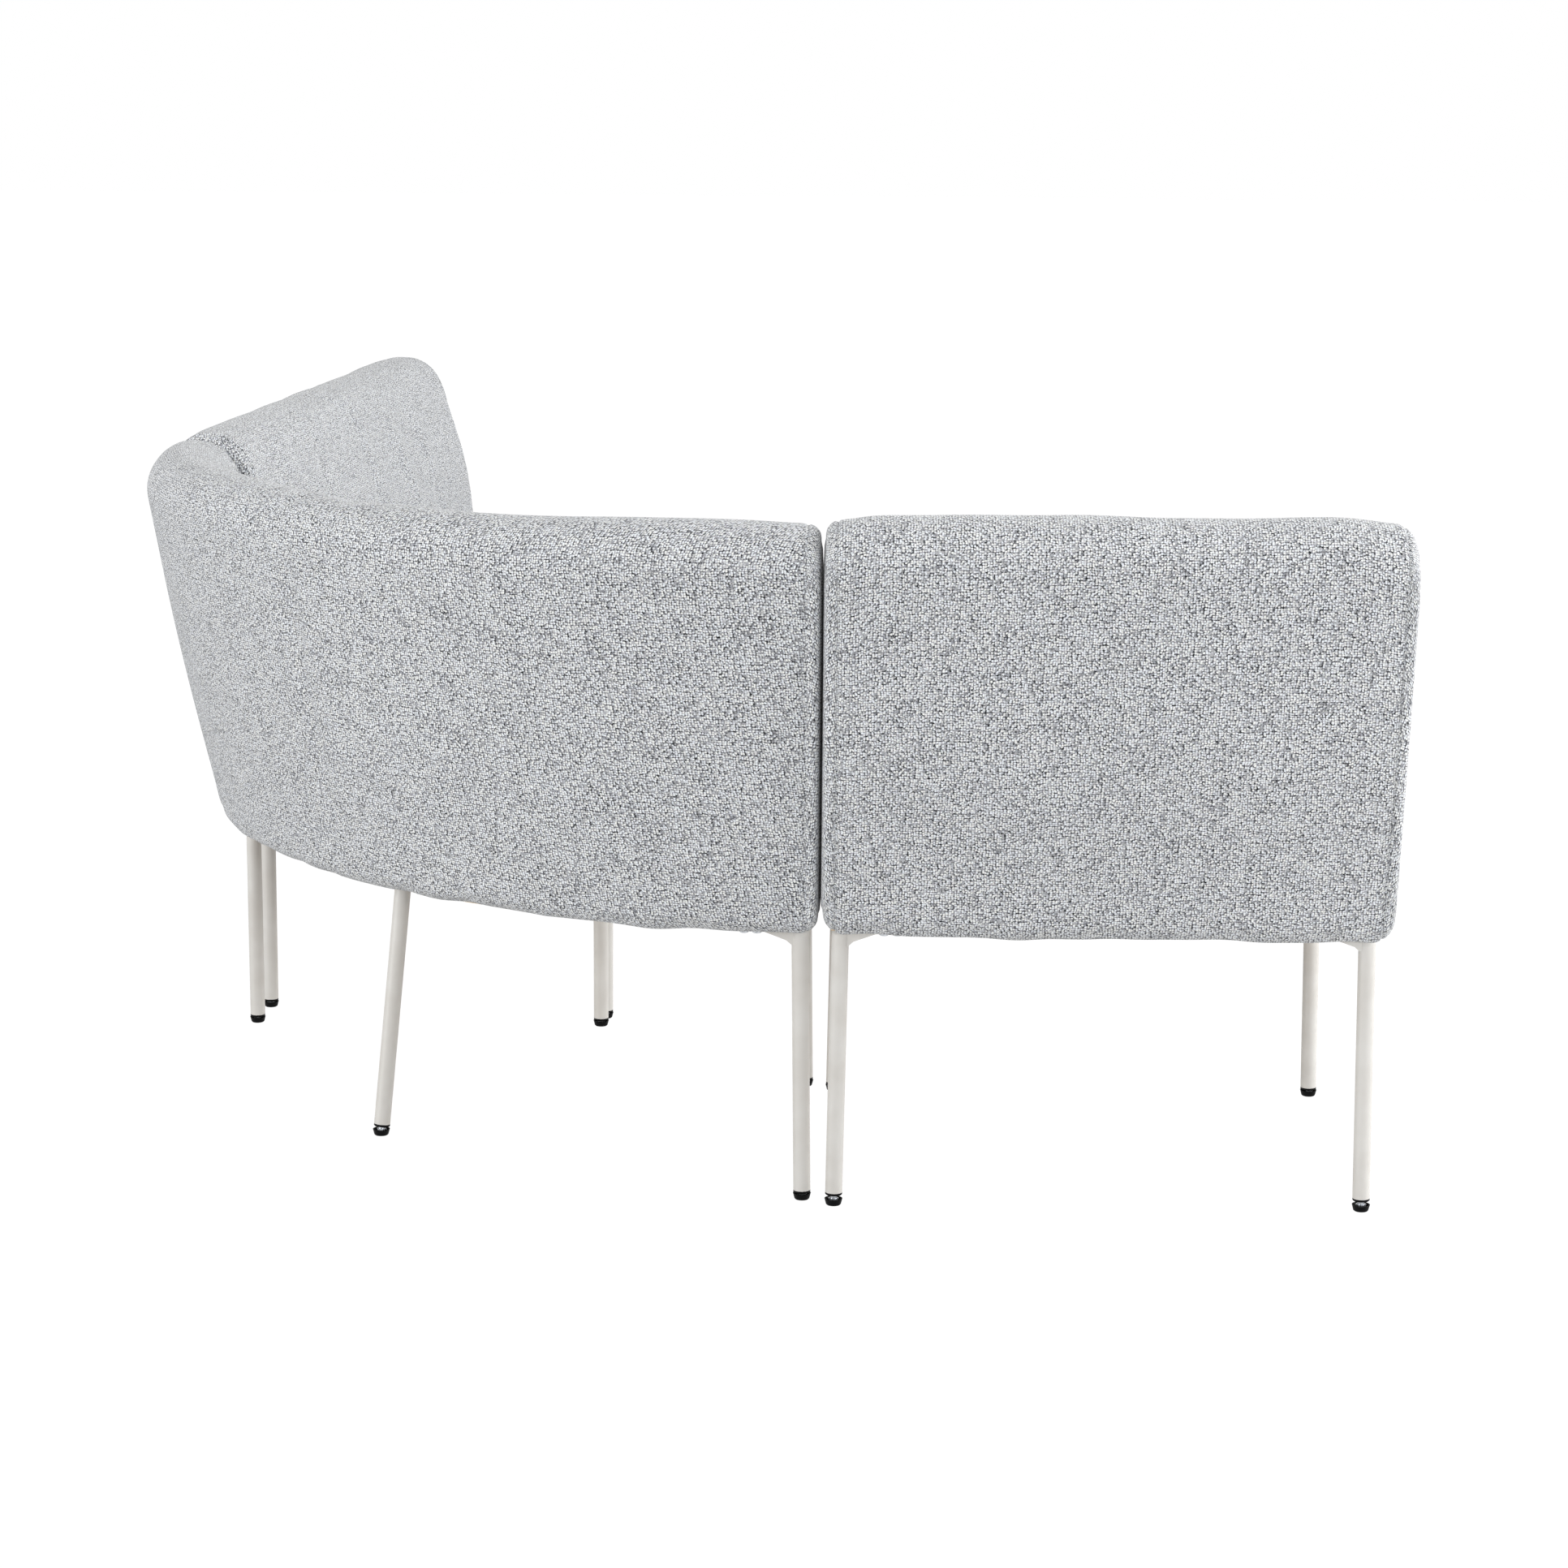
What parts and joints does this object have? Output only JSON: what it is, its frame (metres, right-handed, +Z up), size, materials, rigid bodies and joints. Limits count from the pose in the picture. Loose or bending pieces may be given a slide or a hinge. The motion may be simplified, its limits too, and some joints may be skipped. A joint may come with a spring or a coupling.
{
  "type": "corner banquette bench",
  "caption": "Corner banquette bench: a quarter-round corner module between a single and a double straight one, upholstered seats and leaning backs on round steel legs.",
  "frame": {"origin": "on the floor, under the middle of the whole row's bounding box", "axes": "+X along the right-hand straight module away from the corner, +Y along the left-hand one away from the corner, +Z up; both backs face away from the room, towards -X and -Y"},
  "size_m": [1.5438, 2.3077, 0.8118],
  "materials": {
    "upholstery": "matte",
    "plywood": "matte",
    "powder_coat": "satin",
    "zinc": "satin",
    "black_plastic": "matte"
  },
  "bodies": {
    "bench": {"corner_back_pad": "upholstery", "corner_seat_pad": "upholstery", "corner_back_core": "plywood", "corner_seat_board": "plywood", "corner_back_angles": "zinc", "corner_screws": "zinc", "corner_leg_plugs": "black_plastic", "left_back_pad": "upholstery", "left_seat_pad": "upholstery", "left_back_core": "plywood", "left_seat_board": "plywood", "left_back_angles": "zinc", "left_screws": "zinc", "left_leg_plugs": "black_plastic", "right_back_pad": "upholstery", "right_seat_pad": "upholstery", "right_back_core": "plywood", "right_seat_board": "plywood", "right_back_angles": "zinc", "right_screws": "zinc", "right_leg_plugs": "black_plastic", "corner_rear_right_leg": "powder_coat", "corner_front_right_leg": "powder_coat", "corner_rear_left_leg": "powder_coat", "corner_front_left_leg": "powder_coat", "corner_middle_leg": "powder_coat", "right_rear_left_leg": "powder_coat", "right_rear_right_leg": "powder_coat", "right_front_left_leg": "powder_coat", "right_front_right_leg": "powder_coat", "left_rear_left_leg": "powder_coat", "left_rear_right_leg": "powder_coat", "left_front_left_leg": "powder_coat", "left_front_right_leg": "powder_coat"},
    "corner_rear_right_pad": {"corner_rear_right_glide_pad": "black_plastic"},
    "corner_rear_right_stud": {"corner_rear_right_glide_stud": "zinc"},
    "corner_front_right_pad": {"corner_front_right_glide_pad": "black_plastic"},
    "corner_front_right_stud": {"corner_front_right_glide_stud": "zinc"},
    "corner_rear_left_pad": {"corner_rear_left_glide_pad": "black_plastic"},
    "corner_rear_left_stud": {"corner_rear_left_glide_stud": "zinc"},
    "corner_front_left_pad": {"corner_front_left_glide_pad": "black_plastic"},
    "corner_front_left_stud": {"corner_front_left_glide_stud": "zinc"},
    "corner_middle_pad": {"corner_middle_glide_pad": "black_plastic"},
    "corner_middle_stud": {"corner_middle_glide_stud": "zinc"},
    "right_rear_left_pad": {"right_rear_left_glide_pad": "black_plastic"},
    "right_rear_left_stud": {"right_rear_left_glide_stud": "zinc"},
    "right_rear_right_pad": {"right_rear_right_glide_pad": "black_plastic"},
    "right_rear_right_stud": {"right_rear_right_glide_stud": "zinc"},
    "right_front_left_pad": {"right_front_left_glide_pad": "black_plastic"},
    "right_front_left_stud": {"right_front_left_glide_stud": "zinc"},
    "right_front_right_pad": {"right_front_right_glide_pad": "black_plastic"},
    "right_front_right_stud": {"right_front_right_glide_stud": "zinc"},
    "left_rear_left_pad": {"left_rear_left_glide_pad": "black_plastic"},
    "left_rear_left_stud": {"left_rear_left_glide_stud": "zinc"},
    "left_rear_right_pad": {"left_rear_right_glide_pad": "black_plastic"},
    "left_rear_right_stud": {"left_rear_right_glide_stud": "zinc"},
    "left_front_left_pad": {"left_front_left_glide_pad": "black_plastic"},
    "left_front_left_stud": {"left_front_left_glide_stud": "zinc"},
    "left_front_right_pad": {"left_front_right_glide_pad": "black_plastic"},
    "left_front_right_stud": {"left_front_right_glide_stud": "zinc"}
  },
  "joints": [
    {"name": "corner_rear_right_level", "type": "slide", "parent": "bench", "child": "corner_rear_right_pad", "axis": [0.0148, -0.0016, -0.9999], "range_m": [0, 0.012]},
    {"name": "corner_rear_right_turn", "type": "hinge", "parent": "corner_rear_right_pad", "child": "corner_rear_right_stud", "pos_m": [0.10551, -1.01996, 0.0038], "axis": [0.0148, -0.0016, -0.9999], "continuous": true},
    {"name": "corner_front_right_level", "type": "slide", "parent": "bench", "child": "corner_front_right_pad", "axis": [0.0148, 0, -0.9999], "range_m": [0, 0.012]},
    {"name": "corner_front_right_turn", "type": "hinge", "parent": "corner_front_right_pad", "child": "corner_front_right_stud", "pos_m": [0.10551, -0.54596, 0.0038], "axis": [0.0148, 0, -0.9999], "continuous": true},
    {"name": "corner_rear_left_level", "type": "slide", "parent": "bench", "child": "corner_rear_left_pad", "axis": [-0.0016, 0.0148, -0.9999], "range_m": [0, 0.012]},
    {"name": "corner_rear_left_turn", "type": "hinge", "parent": "corner_rear_left_pad", "child": "corner_rear_left_stud", "pos_m": [-0.65199, -0.26246, 0.0038], "axis": [-0.0016, 0.0148, -0.9999], "continuous": true},
    {"name": "corner_front_left_level", "type": "slide", "parent": "bench", "child": "corner_front_left_pad", "axis": [0, 0.0148, -0.9999], "range_m": [0, 0.012]},
    {"name": "corner_front_left_turn", "type": "hinge", "parent": "corner_front_left_pad", "child": "corner_front_left_stud", "pos_m": [-0.17799, -0.26246, 0.0038], "axis": [0, 0.0148, -0.9999], "continuous": true},
    {"name": "corner_middle_level", "type": "slide", "parent": "bench", "child": "corner_middle_pad", "axis": [-0.0898, -0.0898, -0.9919], "range_m": [-0.0018, 0.0095]},
    {"name": "corner_middle_turn", "type": "hinge", "parent": "corner_middle_pad", "child": "corner_middle_stud", "pos_m": [-0.41657, -0.78454, 0.0038], "axis": [-0.0898, -0.0898, -0.9919], "continuous": true},
    {"name": "right_rear_left_level", "type": "slide", "parent": "bench", "child": "right_rear_left_pad", "axis": [-0.0148, -0.0084, -0.9999], "range_m": [-0.004, 0.008]},
    {"name": "right_rear_left_turn", "type": "hinge", "parent": "right_rear_left_pad", "child": "right_rear_left_stud", "pos_m": [0.14245, -1.03998, 0.0038], "axis": [-0.0148, -0.0084, -0.9999], "continuous": true},
    {"name": "right_rear_right_level", "type": "slide", "parent": "bench", "child": "right_rear_right_pad", "axis": [0.0148, -0.0084, -0.9999], "range_m": [-0.004, 0.008]},
    {"name": "right_rear_right_turn", "type": "hinge", "parent": "right_rear_right_pad", "child": "right_rear_right_stud", "pos_m": [0.75557, -1.03998, 0.0038], "axis": [0.0148, -0.0084, -0.9999], "continuous": true},
    {"name": "right_front_left_level", "type": "slide", "parent": "bench", "child": "right_front_left_pad", "axis": [-0.0148, -0.0084, -0.9999], "range_m": [0, 0.012]},
    {"name": "right_front_left_turn", "type": "hinge", "parent": "right_front_left_pad", "child": "right_front_left_stud", "pos_m": [0.14251, -0.56596, 0.0038], "axis": [-0.0148, -0.0084, -0.9999], "continuous": true},
    {"name": "right_front_right_level", "type": "slide", "parent": "bench", "child": "right_front_right_pad", "axis": [0.0148, -0.0084, -0.9999], "range_m": [0, 0.012]},
    {"name": "right_front_right_turn", "type": "hinge", "parent": "right_front_right_pad", "child": "right_front_right_stud", "pos_m": [0.75551, -0.56596, 0.0038], "axis": [0.0148, -0.0084, -0.9999], "continuous": true},
    {"name": "left_rear_left_level", "type": "slide", "parent": "bench", "child": "left_rear_left_pad", "axis": [0.0013, 0.0148, -0.9999], "range_m": [0, 0.012]},
    {"name": "left_rear_left_turn", "type": "hinge", "parent": "left_rear_left_pad", "child": "left_rear_left_stud", "pos_m": [-0.53194, 1.12832, 0.0038], "axis": [0.0013, 0.0148, -0.9999], "continuous": true},
    {"name": "left_rear_right_level", "type": "slide", "parent": "bench", "child": "left_rear_right_pad", "axis": [-0.0013, -0.0148, -0.9999], "range_m": [0, 0.012]},
    {"name": "left_rear_right_turn", "type": "hinge", "parent": "left_rear_right_pad", "child": "left_rear_right_stud", "pos_m": [-0.64637, -0.17969, 0.0038], "axis": [-0.0013, -0.0148, -0.9999], "continuous": true},
    {"name": "left_front_left_level", "type": "slide", "parent": "bench", "child": "left_front_left_pad", "axis": [0.0013, 0.0148, -0.9999], "range_m": [0, 0.012]},
    {"name": "left_front_left_turn", "type": "hinge", "parent": "left_front_left_pad", "child": "left_front_left_stud", "pos_m": [-0.05974, 1.08701, 0.0038], "axis": [0.0013, 0.0148, -0.9999], "continuous": true},
    {"name": "left_front_right_level", "type": "slide", "parent": "bench", "child": "left_front_right_pad", "axis": [-0.0013, -0.0148, -0.9999], "range_m": [0, 0.012]},
    {"name": "left_front_right_turn", "type": "hinge", "parent": "left_front_right_pad", "child": "left_front_right_stud", "pos_m": [-0.17418, -0.221, 0.0038], "axis": [-0.0013, -0.0148, -0.9999], "continuous": true}
  ],
  "couplings": [
    {"joint": "corner_rear_right_turn", "follows": "corner_rear_right_level", "rad_per_m": 5026.5},
    {"joint": "corner_front_right_turn", "follows": "corner_front_right_level", "rad_per_m": 5026.5},
    {"joint": "corner_rear_left_turn", "follows": "corner_rear_left_level", "rad_per_m": 5026.5},
    {"joint": "corner_front_left_turn", "follows": "corner_front_left_level", "rad_per_m": 5026.5},
    {"joint": "corner_middle_turn", "follows": "corner_middle_level", "rad_per_m": 5026.5},
    {"joint": "right_rear_left_turn", "follows": "right_rear_left_level", "rad_per_m": 5026.5},
    {"joint": "right_rear_right_turn", "follows": "right_rear_right_level", "rad_per_m": 5026.5},
    {"joint": "right_front_left_turn", "follows": "right_front_left_level", "rad_per_m": 5026.5},
    {"joint": "right_front_right_turn", "follows": "right_front_right_level", "rad_per_m": 5026.5},
    {"joint": "left_rear_left_turn", "follows": "left_rear_left_level", "rad_per_m": 5026.5},
    {"joint": "left_rear_right_turn", "follows": "left_rear_right_level", "rad_per_m": 5026.5},
    {"joint": "left_front_left_turn", "follows": "left_front_left_level", "rad_per_m": 5026.5},
    {"joint": "left_front_right_turn", "follows": "left_front_right_level", "rad_per_m": 5026.5}
  ]
}
